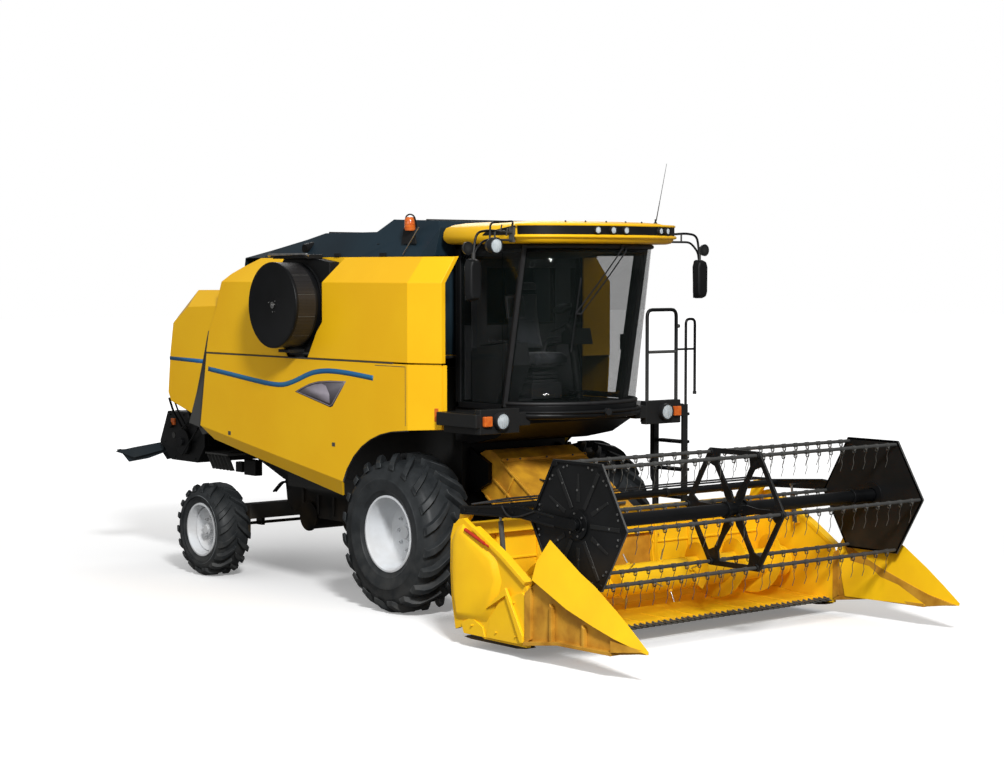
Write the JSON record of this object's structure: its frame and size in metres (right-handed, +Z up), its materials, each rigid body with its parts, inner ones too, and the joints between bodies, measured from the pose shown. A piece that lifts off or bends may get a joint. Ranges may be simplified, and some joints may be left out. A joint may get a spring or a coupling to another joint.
{
  "type": "combine harvester",
  "caption": "Self-propelled combine harvester with cab, grain tank, swing-out unloading tube and a grain header with divider points, auger and hexagonal tine reel.",
  "frame": {"origin": "bottom centre of the whole machine's bounding box, on the ground, midway between its sides", "axes": "+X to the machine's left, +Y to its rear, +Z up; the header points to -Y"},
  "size_m": [4.22, 9.96, 4.5012],
  "materials": {
    "yellow_paint": "gloss",
    "black_paint": "satin",
    "slate_paint": "satin",
    "white_paint": "satin",
    "tyre": "matt",
    "cast_iron": "rough",
    "steel": "polished",
    "cab_glass": "clear",
    "seat_cloth": "woven",
    "grey_plastic": "grained",
    "black_plastic": "grained"
  },
  "bodies": {
    "machine": {"threshing_body": "black_paint", "engine_block": "cast_iron", "front_axle": "cast_iron", "rear_axle_beam": "black_paint", "upper_side_panel_right": "yellow_paint", "upper_side_panel_left": "yellow_paint", "rear_hood": "yellow_paint", "grain_tank": "yellow_paint", "tank_cover": "slate_paint", "dust_screen_housing": "black_paint", "cab_base": "black_paint", "cab_shell": "black_paint", "cab_roof": "yellow_paint", "windscreen": "cab_glass", "side_window_right": "cab_glass", "seat_plinth": "grey_plastic", "seat": "seat_cloth", "steering_column": "grey_plastic", "ladder": "black_paint", "mirror_left": "black_plastic", "mirror_right": "black_plastic", "straw_chopper": "black_paint"},
    "front_wheel_left": {"front_tyre_left": "tyre", "front_rim_left": "white_paint"},
    "front_wheel_right": {"front_tyre_right": "tyre", "front_rim_right": "white_paint"},
    "rear_steer_left": {"rear_knuckle_left": "cast_iron"},
    "rear_steer_right": {"rear_knuckle_right": "cast_iron"},
    "rear_wheel_left": {"rear_tyre_left": "tyre", "rear_rim_left": "white_paint"},
    "rear_wheel_right": {"rear_tyre_right": "tyre", "rear_rim_right": "white_paint"},
    "door": {"cab_door": "black_paint", "cab_door_glass": "cab_glass"},
    "side_cover_left": {"lower_side_panel_left": "yellow_paint"},
    "side_cover_right": {"lower_side_panel_right": "yellow_paint"},
    "dust_screen": {"dust_screen_drum": "black_paint"},
    "unloader": {"unloader_tube": "yellow_paint"},
    "spreader_board": {"tailboard": "slate_paint"},
    "header": {"feeder_house": "yellow_paint", "header_table": "yellow_paint", "divider_left": "yellow_paint", "divider_right": "yellow_paint", "knife_bar": "cast_iron"},
    "lift_barrels": {"lift_cylinder_barrels": "black_paint"},
    "lift_rods": {"lift_cylinder_rods": "steel"},
    "crop_auger": {"header_auger": "yellow_paint"},
    "reel_frame": {"reel_arms": "black_paint"},
    "reel_rotor": {"reel": "black_paint"},
    "reel_barrel_left": {"reel_cylinder_barrel_left": "black_paint"},
    "reel_barrel_right": {"reel_cylinder_barrel_right": "black_paint"},
    "reel_rod_left": {"reel_cylinder_rod_left": "steel"},
    "reel_rod_right": {"reel_cylinder_rod_right": "steel"},
    "tine_bar_1_body": {"tine_bar_1": "black_paint"},
    "tine_bar_2_body": {"tine_bar_2": "black_paint"},
    "tine_bar_3_body": {"tine_bar_3": "black_paint"},
    "tine_bar_4_body": {"tine_bar_4": "black_paint"},
    "tine_bar_5_body": {"tine_bar_5": "black_paint"},
    "tine_bar_6_body": {"tine_bar_6": "black_paint"}
  },
  "joints": [
    {"name": "front_wheel_left_spin", "type": "hinge", "parent": "machine", "child": "front_wheel_left", "pos_m": [1.2, -0.58, 0.8], "axis": [1, 0, 0], "continuous": true},
    {"name": "rear_steer_left", "type": "hinge", "parent": "machine", "child": "rear_steer_left", "pos_m": [0.98, 2.885, 0.52], "axis": [0, 0, 1], "range_deg": [-35, 35]},
    {"name": "rear_wheel_left_spin", "type": "hinge", "parent": "rear_steer_left", "child": "rear_wheel_left", "pos_m": [1.33, 2.885, 0.52], "axis": [1, 0, 0], "continuous": true},
    {"name": "front_wheel_right_spin", "type": "hinge", "parent": "machine", "child": "front_wheel_right", "pos_m": [-1.2, -0.58, 0.8], "axis": [1, 0, 0], "continuous": true},
    {"name": "rear_steer_right", "type": "hinge", "parent": "machine", "child": "rear_steer_right", "pos_m": [-0.98, 2.885, 0.52], "axis": [0, 0, 1], "range_deg": [-35, 35]},
    {"name": "rear_wheel_right_spin", "type": "hinge", "parent": "rear_steer_right", "child": "rear_wheel_right", "pos_m": [-1.33, 2.885, 0.52], "axis": [1, 0, 0], "continuous": true},
    {"name": "cab_door_hinge", "type": "hinge", "parent": "machine", "child": "door", "pos_m": [0.8085, -0.915, 2.85], "axis": [0, 0, 1], "range_deg": [0, 85]},
    {"name": "side_cover_left_hinge", "type": "hinge", "parent": "machine", "child": "side_cover_left", "pos_m": [1.45, 0.92, 2.512], "axis": [0, -1, 0], "range_deg": [0, 80]},
    {"name": "side_cover_right_hinge", "type": "hinge", "parent": "machine", "child": "side_cover_right", "pos_m": [-1.45, 0.92, 2.512], "axis": [0, 1, 0], "range_deg": [0, 80]},
    {"name": "dust_screen_spin", "type": "hinge", "parent": "machine", "child": "dust_screen", "pos_m": [0, 1.02, 3.07], "axis": [1, 0, 0], "continuous": true},
    {"name": "unloader_swing", "type": "hinge", "parent": "machine", "child": "unloader", "pos_m": [1.42, -0.13, 3.5], "axis": [0, 0, -1], "range_deg": [0, 100]},
    {"name": "spreader_board_tilt", "type": "hinge", "parent": "machine", "child": "spreader_board", "pos_m": [0, 4.335, 1.405], "axis": [1, 0, 0], "range_deg": [-25, 20]},
    {"name": "header_lift", "type": "hinge", "parent": "machine", "child": "header", "pos_m": [0, -1.08, 1.4], "axis": [-1, 0, 0], "range_deg": [-2, 24]},
    {"name": "lift_barrels_pivot", "type": "hinge", "parent": "machine", "child": "lift_barrels", "pos_m": [0, -0.84, 0.7], "axis": [-1, 0, 0], "range_deg": [-6, 30]},
    {"name": "lift_rods_slide", "type": "slide", "parent": "lift_barrels", "child": "lift_rods", "axis": [0, -0.9819, -0.1895], "range_m": [-0.06, 0.34]},
    {"name": "crop_auger_spin", "type": "hinge", "parent": "header", "child": "crop_auger", "pos_m": [0, -2.81, 0.48], "axis": [1, 0, 0], "continuous": true},
    {"name": "reel_lift", "type": "hinge", "parent": "header", "child": "reel_frame", "pos_m": [0, -2.47, 1.24], "axis": [-1, 0, 0], "range_deg": [-4, 22]},
    {"name": "reel_barrel_left_pivot", "type": "hinge", "parent": "header", "child": "reel_barrel_left", "pos_m": [1.915, -2.97, 0.88], "axis": [-1, 0, 0], "range_deg": [-10, 15]},
    {"name": "reel_rod_left_slide", "type": "slide", "parent": "reel_barrel_left", "child": "reel_rod_left", "axis": [0, 0.1298, 0.9915], "range_m": [-0.06, 0.22]},
    {"name": "reel_barrel_right_pivot", "type": "hinge", "parent": "header", "child": "reel_barrel_right", "pos_m": [-1.915, -2.97, 0.88], "axis": [-1, 0, 0], "range_deg": [-10, 15]},
    {"name": "reel_rod_right_slide", "type": "slide", "parent": "reel_barrel_right", "child": "reel_rod_right", "axis": [0, 0.1298, 0.9915], "range_m": [-0.06, 0.22]},
    {"name": "reel_spin", "type": "hinge", "parent": "reel_frame", "child": "reel_rotor", "pos_m": [0, -3.98, 1.245], "axis": [1, 0, 0], "continuous": true},
    {"name": "tine_bar_1_spin", "type": "hinge", "parent": "reel_rotor", "child": "tine_bar_1_body", "pos_m": [0, -3.39, 1.245], "axis": [1, 0, 0], "continuous": true},
    {"name": "tine_bar_2_spin", "type": "hinge", "parent": "reel_rotor", "child": "tine_bar_2_body", "pos_m": [0, -3.685, 1.75595], "axis": [1, 0, 0], "continuous": true},
    {"name": "tine_bar_3_spin", "type": "hinge", "parent": "reel_rotor", "child": "tine_bar_3_body", "pos_m": [0, -4.275, 1.75595], "axis": [1, 0, 0], "continuous": true},
    {"name": "tine_bar_4_spin", "type": "hinge", "parent": "reel_rotor", "child": "tine_bar_4_body", "pos_m": [0, -4.57, 1.245], "axis": [1, 0, 0], "continuous": true},
    {"name": "tine_bar_5_spin", "type": "hinge", "parent": "reel_rotor", "child": "tine_bar_5_body", "pos_m": [0, -4.275, 0.73405], "axis": [1, 0, 0], "continuous": true},
    {"name": "tine_bar_6_spin", "type": "hinge", "parent": "reel_rotor", "child": "tine_bar_6_body", "pos_m": [0, -3.685, 0.73405], "axis": [1, 0, 0], "continuous": true}
  ],
  "couplings": [
    {"joint": "lift_barrels_pivot", "follows": "header_lift", "ratio": 0.84472},
    {"joint": "lift_rods_slide", "follows": "header_lift", "m_per_rad": 0.70945},
    {"joint": "reel_barrel_left_pivot", "follows": "reel_lift", "ratio": 0.05205},
    {"joint": "reel_rod_left_slide", "follows": "reel_lift", "m_per_rad": 0.44798},
    {"joint": "reel_barrel_right_pivot", "follows": "reel_lift", "ratio": 0.05205},
    {"joint": "reel_rod_right_slide", "follows": "reel_lift", "m_per_rad": 0.44798},
    {"joint": "tine_bar_1_spin", "follows": "reel_spin", "ratio": -1},
    {"joint": "tine_bar_2_spin", "follows": "reel_spin", "ratio": -1},
    {"joint": "tine_bar_3_spin", "follows": "reel_spin", "ratio": -1},
    {"joint": "tine_bar_4_spin", "follows": "reel_spin", "ratio": -1},
    {"joint": "tine_bar_5_spin", "follows": "reel_spin", "ratio": -1},
    {"joint": "tine_bar_6_spin", "follows": "reel_spin", "ratio": -1},
    {"joint": "rear_steer_right", "follows": "rear_steer_left", "ratio": 1}
  ]
}
